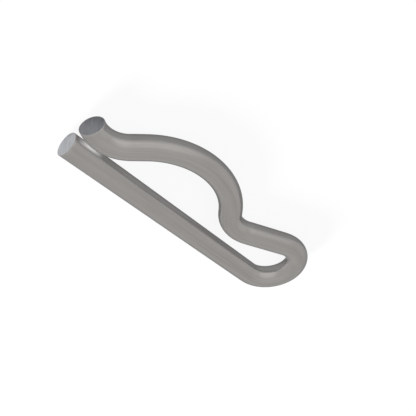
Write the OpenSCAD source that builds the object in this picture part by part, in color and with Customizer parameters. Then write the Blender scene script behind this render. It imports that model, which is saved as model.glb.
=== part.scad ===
// Hitch R clip: one round spring wire bent in one plane. The straight leg goes through a cross hole
// in a shaft. An eye turns the wire back, a neck closes in on the leg, an arch rides over the shaft
// and the bent tip closes in on the leg again, so that the clip snaps on and stays.

/* [Wire] */
// Diameter of the round wire
wire_d = 5; // [3:0.1:6]
// Width of the broken edge round both cut ends
end_break = 0.15; // [0.05:0.05:0.6]
// How far bending thins the wire, as a share of its radius, in a bend as tight as that radius
bend_thin = 0.02; // [0.01:0.005:0.05]

/* [Straight leg] */
// How far the leg's cut end stands past the middle of the tip's cut end
leg_over = 0.2; // [-1:0.1:40]

/* [Eye] */
// Inside radius of the eye
eye_r = 3.75; // [2.5:0.25:8]
// Length of the straight return between the eye and the neck
return_len = 9.5; // [4:0.5:25]

/* [Neck] */
// Clear gap between the neck and the leg
throat_gap = 2.9; // [1:0.1:6]
// Inside radius of the neck bend
neck_r = 4.6; // [2:0.2:10]

/* [Arch] */
// Diameter of the shaft under the arch, with the leg through its middle
shaft_d = 25; // [16:1:40]
// How much larger the inside radius of the arch is than the radius of the shaft
arch_ease = 2.3; // [0.5:0.1:10]

/* [Tip] */
// Length of the straight tail between the arch and the tip bend
tail_len = 3.2; // [0.5:0.1:15]
// Clear gap between the tip bend and the leg
pinch_gap = 0.6; // [0.2:0.1:3]
// Inside radius of the tip bend
tip_r = 4.3; // [2:0.1:10]
// Angle at which the tip rises away from the leg
tip_rise = 25.5; // [10:0.5:60]
// Length of the straight end after the tip bend
tip_len = 0.3; // [0.1:0.1:15]

/* [Hidden] */
$fn = 96;
wire_r = wire_d / 2;

// How far each bend reaches into the stretch on either side of it
bend_reach = 0.05;

// Bend radii at the middle of the wire
eye_mid = eye_r + wire_r;
neck_mid = neck_r + wire_r;
arch_mid = shaft_d / 2 + arch_ease + wire_r;
tip_mid = tip_r + wire_r;

// Heights of the middle of the wire above the axis of the leg
neck_h = wire_d + throat_gap;
crown_h = shaft_d / 2 + wire_r;
pinch_h = wire_d + pinch_gap;

// Slopes against the leg: the return comes down at lean, the arch starts at climb and ends at fall
eye_neck = eye_mid + neck_mid;
lean = acos((neck_h - eye_mid + neck_mid) / norm([eye_neck, return_len])) - atan2(return_len, eye_neck);
neck_arch = neck_mid + arch_mid;
climb = acos(1 - (crown_h - neck_h) / neck_arch);
arch_tip = arch_mid + tip_mid;
fall = atan2(arch_tip, tail_len) + asin((crown_h - pinch_h - arch_tip) / norm([arch_tip, tail_len]));

// Distances along the leg, from the start of the eye back to each low or high point of the wire
neck_back = eye_neck * sin(lean) + return_len * cos(lean);
crown_back = neck_back + neck_arch * sin(climb);
pinch_back = crown_back + arch_tip * sin(fall) + tail_len * cos(fall);
tip_back = pinch_back + tip_mid * sin(tip_rise) + (tip_len + end_break) * cos(tip_rise);
leg_len = tip_back + leg_over - end_break;

// Middle of the whole outline, seen from above, from the start of the eye on the axis of the leg
tip_h = pinch_h + tip_mid * (1 - cos(tip_rise)) + (tip_len + end_break) * sin(tip_rise);
far_x = eye_mid + wire_r;
near_x = -max(leg_len + end_break, tip_back + (wire_r - end_break) * sin(tip_rise));
far_y = max(crown_h + wire_r, 2 * eye_mid + wire_r, tip_h + wire_r * cos(tip_rise));
near_y = -wire_r;
middle = [(far_x + near_x) / 2, (far_y + near_y) / 2, -wire_r];

// A straight stretch along +X, and what follows at its far end
module straight(len) {
    rotate([0, 90, 0])
        cylinder(r = wire_r, h = len);
    translate([len, 0, 0])
        children();
}

// A bend from +X to the left (turn above 0) or to the right (below 0), and what follows at its far end.
// The tighter it is, the thinner the wire is drawn in it.
module bend(mid_r, turn) {
    side = sign(turn);
    reach = bend_reach / mid_r * 180 / PI;
    translate([0, side * mid_r, 0])
        rotate([0, 0, (turn > 0 ? -90 : 90 + turn) - reach])
            rotate_extrude(angle = abs(turn) + 2 * reach)
                translate([mid_r, 0])
                    circle(r = wire_r * (1 - bend_thin * wire_r / mid_r));
    translate([mid_r * sin(abs(turn)), side * mid_r * (1 - cos(turn)), 0])
        rotate([0, 0, turn])
            children();
}

// The broken edge at a cut end that faces +X
module cut_end() {
    rotate([0, 90, 0])
        cylinder(r1 = wire_r, r2 = wire_r - end_break, h = end_break);
}

// The whole wire, bent in turn from the cut end of the leg to the cut end of the tip
module clip_wire() {
    color([0.59, 0.575, 0.565])
        translate([-leg_len, 0, 0] - middle) {
            mirror([1, 0, 0])
                cut_end();
            straight(leg_len)
                bend(eye_mid, 180 + lean)
                straight(return_len)
                bend(neck_mid, -lean - climb)
                bend(arch_mid, climb + fall)
                straight(tail_len)
                bend(tip_mid, -fall - tip_rise)
                straight(tip_len)
                cut_end();
        }
}

clip_wire();
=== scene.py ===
import math

import bpy
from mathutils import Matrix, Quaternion, Vector


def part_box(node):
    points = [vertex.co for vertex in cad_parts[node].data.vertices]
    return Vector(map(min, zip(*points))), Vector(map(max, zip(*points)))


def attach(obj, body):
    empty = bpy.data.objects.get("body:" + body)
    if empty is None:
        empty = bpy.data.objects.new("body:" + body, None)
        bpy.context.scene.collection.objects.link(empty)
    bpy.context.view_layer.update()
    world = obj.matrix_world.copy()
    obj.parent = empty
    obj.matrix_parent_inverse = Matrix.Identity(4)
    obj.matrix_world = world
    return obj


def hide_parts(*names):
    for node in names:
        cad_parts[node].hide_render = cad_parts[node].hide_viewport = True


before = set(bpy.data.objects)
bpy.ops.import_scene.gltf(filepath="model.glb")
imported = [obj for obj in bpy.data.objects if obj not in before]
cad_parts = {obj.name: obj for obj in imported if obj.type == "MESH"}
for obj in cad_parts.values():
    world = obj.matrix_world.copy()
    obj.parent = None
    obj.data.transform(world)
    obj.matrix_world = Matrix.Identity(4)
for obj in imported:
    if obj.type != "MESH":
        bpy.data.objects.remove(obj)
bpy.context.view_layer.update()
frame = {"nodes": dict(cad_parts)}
print("frame loaded:", ", ".join(frame["nodes"]))


# a Link is an output socket, and an operator on one adds a Math node
class Link:
    def __init__(self, maker, socket):
        self.maker = maker
        self.socket = socket

    def maths(self, operation, first, second):
        return self.maker.node("ShaderNodeMath", {"operation": operation}, {0: first, 1: second})

    def __add__(self, other):
        return self.maths("ADD", self, other)

    def __radd__(self, other):
        return self.maths("ADD", other, self)

    def __sub__(self, other):
        return self.maths("SUBTRACT", self, other)

    def __rsub__(self, other):
        return self.maths("SUBTRACT", other, self)

    def __mul__(self, other):
        return self.maths("MULTIPLY", self, other)

    def __rmul__(self, other):
        return self.maths("MULTIPLY", other, self)

    def highest(self, other):
        return self.maths("MAXIMUM", self, other)


class TreeMaker:
    def __init__(self, tree):
        self.tree = tree
        tree.nodes.clear()

    # settings go on first, then numbers or links into the sockets, by name or number
    def node(self, kind, settings=None, inputs=None, output=0):
        made = self.tree.nodes.new(kind)
        for name, value in (settings or {}).items():
            setattr(made, name, value)
        for name, value in (inputs or {}).items():
            if isinstance(value, Link):
                self.tree.links.new(value.socket, made.inputs[name])
            else:
                made.inputs[name].default_value = value
        return Link(self, made.outputs[output]) if made.outputs else None

    # a Mix node has its colours in sockets 6 and 7 and its mixed colour in output 2
    def mixColours(self, share, first, second):
        pair = [c if isinstance(c, Link) else (*c, 1.0) for c in (first, second)]
        sockets = {0: share, 6: pair[0], 7: pair[1]}
        return self.node("ShaderNodeMix", {"data_type": "RGBA"}, sockets, 2)

    def vectorMaths(self, operation, first, second):
        return self.node("ShaderNodeVectorMath", {"operation": operation}, {0: first, 1: second})

    def noise(self, space, scale, detail):
        sockets = {"Vector": space, "Scale": scale, "Detail": detail}
        return self.node("ShaderNodeTexNoise", inputs=sockets)

    def smoothStep(self, value, low, high):
        ends = {"Value": value, "From Min": low, "From Max": high}
        return self.node("ShaderNodeMapRange", {"interpolation_type": "SMOOTHSTEP"}, ends)

    # 1 for rays from the camera, and 1 for those that metal mirrors or that go through glass
    def sharpRays(self):
        kinds = ("Is Camera Ray", "Is Glossy Ray", "Is Transmission Ray")
        camera, glossy, through = [self.node("ShaderNodeLightPath", output=kind) for kind in kinds]
        return camera, glossy.highest(through)


# drawn spring steel: lines along the wire, burnished bends, sheared ends with painted light on the
# leg's end and painted shade on the tip's end, and a painted reflection where tip and leg come close
steel = {
    "darkLine": (0.274, 0.263, 0.253),
    "lightLine": (0.311, 0.298, 0.288),
    "burnish": (0.340, 0.327, 0.316),
    # painted reflection: a near-white streak on the left sides of tip and leg where they come close
    "paintedReflection": (0.92, 0.90, 0.88),
    "paintedLitEnd": (0.514, 0.524, 0.541),    # end of the leg, painted lighter as painted light
    "paintedLitEndTear": (0.402, 0.411, 0.426),
    "paintedShadedEnd": (0.216, 0.217, 0.229),    # end of the tip, painted darker as painted shade
    "paintedShadedEndTear": (0.168, 0.170, 0.180),
    "shadedEndFrom": (0.060, 0.070),    # metres along the wire between the two ends, where the painted light gives way to painted shade
    "edgeTint": (0.52, 0.52, 0.52, 1.0),
    "bendShine": 0.5,        # share of the burnish inside the bends
    "rimShine": 0.6,         # share of it beside the cut ends
    "roughness": 0.13,
    "lineRoughness": 0.08,   # added on the light lines
    "reflectionRoughness": 0.40,    # added on the painted reflection where tip and leg come close
    "bendPolish": 0.03,      # taken off inside the bends
    "cutRoughness": 0.02,    # added on the sheared ends
    "tearRoughness": 0.10,   # added on their light grain
    "fineLines": 14.0,       # to a radius of the wire
    "fineDetail": 4.0,
    "fineShare": 0.55,
    "broadLines": 3.5,       # to a radius of the wire
    "broadDetail": 2.0,
    "broadShare": 0.30,
    "mottle": 260.0,         # patches to a metre
    "mottleDetail": 5.0,
    "mottleShare": 0.15,
    "lineRange": (0.35, 0.65),
    "lineDraw": 6.0,         # pattern that a metre of wire takes up, so less makes longer lines
    "cutGrain": (200.0, 2600.0, 260.0),    # to a metre
    "cutDetail": 5.0,
    "tearRange": (0.30, 0.70),
    "lineDepth": 0.000006,   # in metres
    "cutDepth": 0.000020,
    "bumpStrength": 0.6,
}


def makeSteel():
    material = bpy.data.materials.new("spring_steel_drawn")
    material.use_nodes = True
    maker = TreeMaker(material.node_tree)

    def carried(name, output="Fac"):
        return maker.node("ShaderNodeAttribute", {"attribute_name": name}, output=output)

    rim, cut, pressed, rub = carried("rim"), carried("cut"), carried("pressed"), carried("rub")
    place = maker.node("ShaderNodeTexCoord", output="Object")

    # lines left by the drawing die, thin round the wire and long along it
    drawn = maker.node("ShaderNodeCombineXYZ", inputs={"Z": carried("along") * steel["lineDraw"]})
    lineSpace = maker.vectorMaths("ADD", carried("around", "Vector"), drawn)
    fine = maker.noise(lineSpace, steel["fineLines"], steel["fineDetail"])
    broad = maker.noise(lineSpace, steel["broadLines"], steel["broadDetail"])
    mottle = maker.noise(place, steel["mottle"], steel["mottleDetail"])
    pattern = fine * steel["fineShare"] + broad * steel["broadShare"] + mottle * steel["mottleShare"]
    lines = maker.smoothStep(pattern, *steel["lineRange"])

    # the shear leaves a grain across the cut ends
    cutSpace = maker.vectorMaths("MULTIPLY", place, steel["cutGrain"])
    tears = maker.smoothStep(maker.noise(cutSpace, 1.0, steel["cutDetail"]), *steel["tearRange"])

    side = maker.mixColours(lines, steel["darkLine"], steel["lightLine"])
    side = maker.mixColours(pressed * steel["bendShine"], side, steel["burnish"])
    side = maker.mixColours(rim * steel["rimShine"], side, steel["burnish"])
    # the side takes the painted reflection where tip and leg come close
    side = maker.mixColours(rub, side, steel["paintedReflection"])
    # one sheared face with its real grain in two tones: painted light on the leg's end and painted
    # shade on the tip's end
    litEnd = maker.mixColours(tears, steel["paintedLitEndTear"], steel["paintedLitEnd"])
    shadedEnd = maker.mixColours(tears, steel["paintedShadedEndTear"], steel["paintedShadedEnd"])
    face = maker.mixColours(maker.smoothStep(carried("along"), *steel["shadedEndFrom"]), litEnd, shadedEnd)

    sideRough = steel["roughness"] + lines * steel["lineRoughness"]
    sideRough = sideRough + rub * steel["reflectionRoughness"] - pressed * steel["bendPolish"]
    cutRough = steel["roughness"] + steel["cutRoughness"] + tears * steel["tearRoughness"]
    height = fine * steel["lineDepth"] * (1 - cut) + tears * steel["cutDepth"] * cut
    relief = {"Strength": steel["bumpStrength"], "Distance": 1.0, "Height": height}
    bump = maker.node("ShaderNodeBump", inputs=relief)

    surface = maker.node("ShaderNodeBsdfPrincipled", inputs={
        "Base Color": maker.mixColours(cut, side, face),
        "Metallic": 1.0,
        "Roughness": sideRough * (1 - cut) + cutRough * cut,
        "Specular Tint": steel["edgeTint"],
        "Normal": bump,
    })
    maker.node("ShaderNodeOutputMaterial", inputs={"Surface": surface})
    return material


# the wire, bent in turn from the cut end of the leg to the cut end of the tip, in metres and degrees
wire = {
    "diameter": 0.005,
    "endBreak": 0.00008,     # rounded edge of the cut ends
    "bendThin": 0.02,        # share of the radius lost in a bend as tight as that radius
    "legOver": 0.0002,       # the leg's cut end past the tip's
    "eyeRadius": 0.00375,    # radii are on the inside of the bends
    "returnLength": 0.0095,
    "throatGap": 0.0029,
    "neckRadius": 0.0046,
    "shaftDiameter": 0.025,
    "archEase": 0.0023,
    "tailLength": 0.0032,
    "pinchGap": 0.0006,
    "tipRadius": 0.0043,
    "tipRise": 25.5,
    "tipLength": 0.00037,
    "sides": 72,
    "step": 0.0005,          # between rings
    "edgeSteps": 4,          # rings in the rounded edge
    "rimReach": 0.0006,      # wear beside the cut ends
    "bendBlend": 0.001,      # over which a bend sets in
    "rubReach": 0.0029,      # to each end of the painted reflection where tip and leg come close
    "reflectionEdge": (0.950, 0.992),    # cosines off the left side where that painted reflection sets in and is full
    "pressGain": 2.5,        # burnish in a bend for its sharpness
}


# each stretch is its length and the radius of its bend, above 0 to the left and 0 for a straight one
def planStretches(radius):
    eyeMid = wire["eyeRadius"] + radius
    neckMid = wire["neckRadius"] + radius
    archMid = wire["shaftDiameter"] / 2 + wire["archEase"] + radius
    tipMid = wire["tipRadius"] + radius
    neckHeight = wire["diameter"] + wire["throatGap"]
    crownHeight = wire["shaftDiameter"] / 2 + radius
    pinchHeight = wire["diameter"] + wire["pinchGap"]
    eyeNeck, neckArch, archTip = eyeMid + neckMid, neckMid + archMid, archMid + tipMid
    back, tail, end = wire["returnLength"], wire["tailLength"], wire["tipLength"] + wire["endBreak"]
    rise = math.radians(wire["tipRise"])
    lean = math.acos((neckHeight - eyeMid + neckMid) / math.hypot(eyeNeck, back))
    lean -= math.atan2(back, eyeNeck)
    climb = math.acos(1 - (crownHeight - neckHeight) / neckArch)
    drop = crownHeight - pinchHeight - archTip
    fall = math.atan2(archTip, tail) + math.asin(drop / math.hypot(archTip, tail))
    leg = wire["legOver"] + eyeNeck * math.sin(lean) + back * math.cos(lean)
    leg += neckArch * math.sin(climb) + archTip * math.sin(fall) + tail * math.cos(fall)
    leg += tipMid * math.sin(rise) + end * math.cos(rise)
    return [
        (leg, 0),
        (eyeMid * (math.pi + lean), eyeMid),
        (back, 0),
        (neckMid * (lean + climb), -neckMid),
        (archMid * (climb + fall), archMid),
        (tail, 0),
        (tipMid * (fall + rise), -tipMid),
        (end, 0),
    ]


# where the wire's middle line is at a distance from its start, and how sharply it bends there
def routeAt(stretches, start, distance):
    place, heading, bend = start.copy(), 0.0, 0
    for length, bend in stretches:
        part = min(distance, length)
        turn = part / bend if bend else 0.0
        chord = 2 * bend * math.sin(turn / 2) if bend else part
        place += chord * Vector((math.cos(heading + turn / 2), math.sin(heading + turn / 2), 0))
        heading += turn
        distance -= part
        if distance <= 0:
            break
    return place, 1 / bend if bend else 0.0


def makeRoute():
    radius, edge = wire["diameter"] / 2, wire["endBreak"]
    stretches = planStretches(radius)
    total = sum(length for length, bend in stretches)
    low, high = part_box("clip_wire")
    legLength, eyeMid = stretches[0][0], stretches[1][1]
    eyeReach = eyeMid + radius * (1 - wire["bendThin"] * radius / eyeMid)
    start = Vector((high.x - eyeReach - legLength, low.y + radius, radius))

    turns = [math.pi / 2 * i / wire["edgeSteps"] for i in range(wire["edgeSteps"])]
    nearEnd = [edge * (1 - math.cos(turn)) for turn in turns]
    count = round((total - 2 * edge) / wire["step"])
    between = [edge + (total - 2 * edge) * i / count for i in range(count + 1)]
    stations = nearEnd + between + [total - s for s in reversed(nearEnd)]

    # the tip comes closest to the leg at one point on each
    tipMid, rise, end = -stretches[-2][1], math.radians(wire["tipRise"]), stretches[-1][0]
    onLeg = wire["legOver"] + tipMid * math.sin(rise) + end * math.cos(rise)
    onTip = total - tipMid * rise - end

    blend = wire["bendBlend"]
    places, gauges, bends, rims, reflectionSpots = [], [], [], [], []
    for s in stations:
        around = [min(max(s + blend * k / 4, 0), total) for k in range(-2, 3)]
        bend = radius * sum(routeAt(stretches, start, at)[1] for at in around) / len(around)
        toEnd = min(s, total - s)
        inset = edge - math.sqrt(max(0.0, edge ** 2 - max(0.0, edge - toEnd) ** 2))
        places.append(routeAt(stretches, start, s)[0])
        gauges.append(1 - wire["bendThin"] * abs(bend) - inset / radius)
        bends.append(bend)
        rims.append(max(0.0, 1 - toEnd / wire["rimReach"]))
        # painted reflection along the wire, full where tip and leg come closest
        reflectionSpots.append(max(0.0, 1 - (min(abs(s - onLeg), abs(s - onTip)) / wire["rubReach"]) ** 2))

    mesh = bpy.data.meshes.new("spring_wire")
    mesh.from_pydata(places, [(i, i + 1) for i in range(len(places) - 1)], [])
    for name, values in (("gauge", gauges), ("bend", bends), ("rim", rims), ("reflectionSpot", reflectionSpots)):
        mesh.attributes.new(name, "FLOAT", "POINT").data.foreach_set("value", values)
    print(f"route: {len(places)} stations on {total * 1000:.1f} mm of wire")
    return mesh


def makeSweepTree():
    tree = bpy.data.node_groups.new("drawn_wire", "GeometryNodeTree")
    inputs = {"Route": "Geometry", "Diameter": "Float", "Sides": "Int", "Steel": "Material"}
    for name, kind in inputs.items():
        tree.interface.new_socket(name, in_out="INPUT", socket_type="NodeSocket" + kind)
    tree.interface.new_socket("Wire", in_out="OUTPUT", socket_type="NodeSocketGeometry")
    maker = TreeMaker(tree)

    def given(name):
        return maker.node("NodeGroupInput", output=name)

    def carried(name, kind="FLOAT"):
        return maker.node("GeometryNodeInputNamedAttribute", {"data_type": kind}, {"Name": name})

    def store(shape, name, value, kind="FLOAT", domain="POINT"):
        settings = {"data_type": kind, "domain": domain}
        what = {"Geometry": shape, "Name": name, "Value": value}
        return maker.node("GeometryNodeStoreNamedAttribute", settings, what)

    route = maker.node("GeometryNodeMeshToCurve", inputs={"Mesh": given("Route")})
    route = maker.node("GeometryNodeSetCurveNormal", {"mode": "Z_UP"}, {"Curve": route})
    route = store(route, "along", maker.node("GeometryNodeSplineParameter", output="Length"))

    size = {"Resolution": given("Sides"), "Radius": given("Diameter") * 0.5}
    ring = maker.node("GeometryNodeCurvePrimitiveCircle", {"mode": "RADIUS"}, size)
    outward = maker.vectorMaths("NORMALIZE", maker.node("GeometryNodeInputPosition"), (0, 0, 0))
    ring = store(ring, "around", outward, "FLOAT_VECTOR")

    sweep = {"Curve": route, "Profile Curve": ring, "Scale": carried("gauge"), "Fill Caps": True}
    tube = maker.node("GeometryNodeCurveToMesh", inputs=sweep)

    # the cut ends are the faces with more than four corners, and stay flat
    corners = maker.node("GeometryNodeInputMeshFaceNeighbors", output="Vertex Count")
    more = {"data_type": "INT", "operation": "GREATER_THAN"}
    isCut = maker.node("FunctionNodeCompare", more, {2: corners, 3: 4})
    smooth = {"Geometry": tube, "Shade Smooth": True}
    tube = maker.node("GeometryNodeSetShadeSmooth", inputs=smooth)
    flat = {"Geometry": tube, "Selection": isCut, "Shade Smooth": False}
    tube = maker.node("GeometryNodeSetShadeSmooth", inputs=flat)
    tube = store(tube, "cut", isCut, domain="FACE")

    # the bending pin burnishes the inside of each bend, and a painted reflection lies on the left
    # sides of tip and leg where they come close
    outwards = carried("around", "FLOAT_VECTOR")
    left = maker.node("ShaderNodeSeparateXYZ", inputs={0: outwards}, output="X") * -1.0
    burnished = left * carried("bend") * wire["pressGain"]
    tube = store(tube, "pressed", burnished.highest(0.0))
    paintedReflection = maker.smoothStep(left, *wire["reflectionEdge"]) * carried("reflectionSpot")
    tube = store(tube, "rub", paintedReflection)

    tube = maker.node("GeometryNodeRealizeInstances", inputs={"Geometry": tube})
    finish = {"Geometry": tube, "Material": given("Steel")}
    tube = maker.node("GeometryNodeSetMaterial", inputs=finish)
    maker.node("NodeGroupOutput", inputs={"Wire": tube})
    return tree


def makeWire():
    piece = bpy.data.objects.new("spring_wire", makeRoute())
    bpy.context.scene.collection.objects.link(piece)
    modifier = piece.modifiers.new("drawn_wire", "NODES")
    modifier.node_group = makeSweepTree()
    values = {"Diameter": wire["diameter"], "Sides": wire["sides"], "Steel": makeSteel()}
    for item in modifier.node_group.interface.items_tree:
        if item.name in values:
            modifier[item.identifier] = values[item.name]
    shaped = piece.evaluated_get(bpy.context.evaluated_depsgraph_get())
    mesh = bpy.data.meshes.new_from_object(shaped)
    piece.modifiers.clear()
    piece.data = mesh
    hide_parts("clip_wire")
    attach(piece, "root")
    piece.visible_glossy = False    # the wire mirrors the floor and walls, not itself
    print(f"wire: {len(mesh.polygons)} faces")


# white floor with a soft shadow, soft lamps and pale walls
studio = {
    "floorSize": 3.0,
    "floorColour": (0.80, 0.82, 0.85),
    "cameraWhite": 0.90,     # share of plain white that the camera sees on the floor
    "mirrorWhite": 0.50,     # the same in the mirror image that metal shows
    "fillLight": 0.55,
    "walls": (1.00, 1.00, 1.00),
    "lighterSides": {        # direction, cosines where it sets in and is full, and colour
        "sideWall": ((0.82, -0.57, 0), 0.70, 0.98, (1.18, 1.18, 1.18)),
        "frontWall": ((0.86, 0.50, 0), 0.75, 0.98, (1.09, 1.09, 1.08)),
        "brightWall": ((-0.60, 0.80, 0), 0.30, 0.95, (1.36, 1.36, 1.35)),
        "ceiling": ((0, 0, 1), 0.70, 1.00, (1.10, 1.10, 1.09)),
    },
    "lamps": {               # place, size, power and colour
        "key": ((0.15, -1.50, 0.54), 0.60, 63.0, (1.0, 0.97, 0.94)),
        "fill": ((-0.10, 0.50, 0.50), 0.45, 2.0, (0.94, 0.97, 1.0)),
    },
}


def makeFloor():
    half = studio["floorSize"] / 2
    mesh = bpy.data.meshes.new("floor")
    corners = [(-half, -half, 0), (half, -half, 0), (half, half, 0), (-half, half, 0)]
    mesh.from_pydata(corners, [], [(0, 1, 2, 3)])
    floor = bpy.data.objects.new("floor", mesh)
    bpy.context.scene.collection.objects.link(floor)
    material = bpy.data.materials.new("floor_white")
    material.use_nodes = True
    maker = TreeMaker(material.node_tree)
    camera, mirror = maker.sharpRays()
    matte = maker.node("ShaderNodeBsdfDiffuse", inputs={"Color": (*studio["floorColour"], 1.0)})
    white = maker.node("ShaderNodeEmission", inputs={"Color": (1.0, 1.0, 1.0, 1.0), "Strength": 1.0})
    # the matte share keeps the shadow, for the camera and in the metal
    plain = camera * studio["cameraWhite"] + mirror * studio["mirrorWhite"]
    surface = maker.node("ShaderNodeMixShader", inputs={0: plain, 1: matte, 2: white})
    maker.node("ShaderNodeOutputMaterial", inputs={"Surface": surface})
    mesh.materials.append(material)


def makeWalls():
    world = bpy.data.worlds.new("studio_walls")
    bpy.context.scene.world = world
    world.use_nodes = True
    maker = TreeMaker(world.node_tree)
    camera, mirror = maker.sharpRays()
    ray = maker.node("ShaderNodeTexCoord", output="Generated")

    # white walls, lighter towards some sides
    walls = studio["walls"]
    for axis, low, high, colour in studio["lighterSides"].values():
        turned = {"operation": "DOT_PRODUCT"}
        share = maker.node("ShaderNodeVectorMath", turned, {0: ray, 1: axis}, "Value")
        walls = maker.mixColours(maker.smoothStep(share, low, high), walls, colour)

    # mirror rays see the walls, the camera sees white, and the rest is an even fill
    fill = maker.node("ShaderNodeBackground", inputs={"Strength": studio["fillLight"]})
    mirrored = maker.node("ShaderNodeBackground", inputs={"Color": walls, "Strength": 1.0})
    white = maker.node("ShaderNodeBackground", inputs={"Color": (1.0, 1.0, 1.0, 1.0), "Strength": 1.0})
    seen = maker.node("ShaderNodeMixShader", inputs={0: mirror, 1: fill, 2: mirrored})
    seen = maker.node("ShaderNodeMixShader", inputs={0: camera, 1: seen, 2: white})
    maker.node("ShaderNodeOutputWorld", inputs={"Surface": seen})


def makeLamps():
    for name, (place, size, power, colour) in studio["lamps"].items():
        lamp = bpy.data.lights.new(name, "AREA")
        lamp.shape = "DISK"
        lamp.size = size
        lamp.energy = power
        lamp.color = colour
        holder = bpy.data.objects.new(name, lamp)
        holder.location = place
        holder.rotation_euler = (-Vector(place)).to_track_quat("-Z", "Y").to_euler()
        holder.visible_glossy = False    # no lamp is mirrored in the wire
        bpy.context.scene.collection.objects.link(holder)


# the photograph looks down on the clip with its image turned nearly upside down
view = {
    "place": (-0.07597, 0.05595, 0.08959),
    "target": (-0.00004, -0.00005, 0.0025),
    "roll": 174.615,
    "lens": 54.352,
    "sensor": 36.0,
    "nearest": 0.005,
}


def makeCamera():
    camera = bpy.data.cameras.new("camera")
    camera.sensor_width = view["sensor"]
    camera.lens = view["lens"]
    camera.clip_start = view["nearest"]
    holder = bpy.data.objects.new("camera", camera)
    place = Vector(view["place"])
    aim = (Vector(view["target"]) - place).to_track_quat("-Z", "Y")
    holder.rotation_mode = "QUATERNION"
    holder.rotation_quaternion = aim @ Quaternion((0, 0, 1), math.radians(view["roll"]))
    holder.location = place
    bpy.context.scene.collection.objects.link(holder)
    bpy.context.scene.camera = holder


makeWire()
makeFloor()
makeWalls()
makeLamps()
makeCamera()
bpy.context.scene.view_settings.view_transform = "Standard"
print("studio ready")
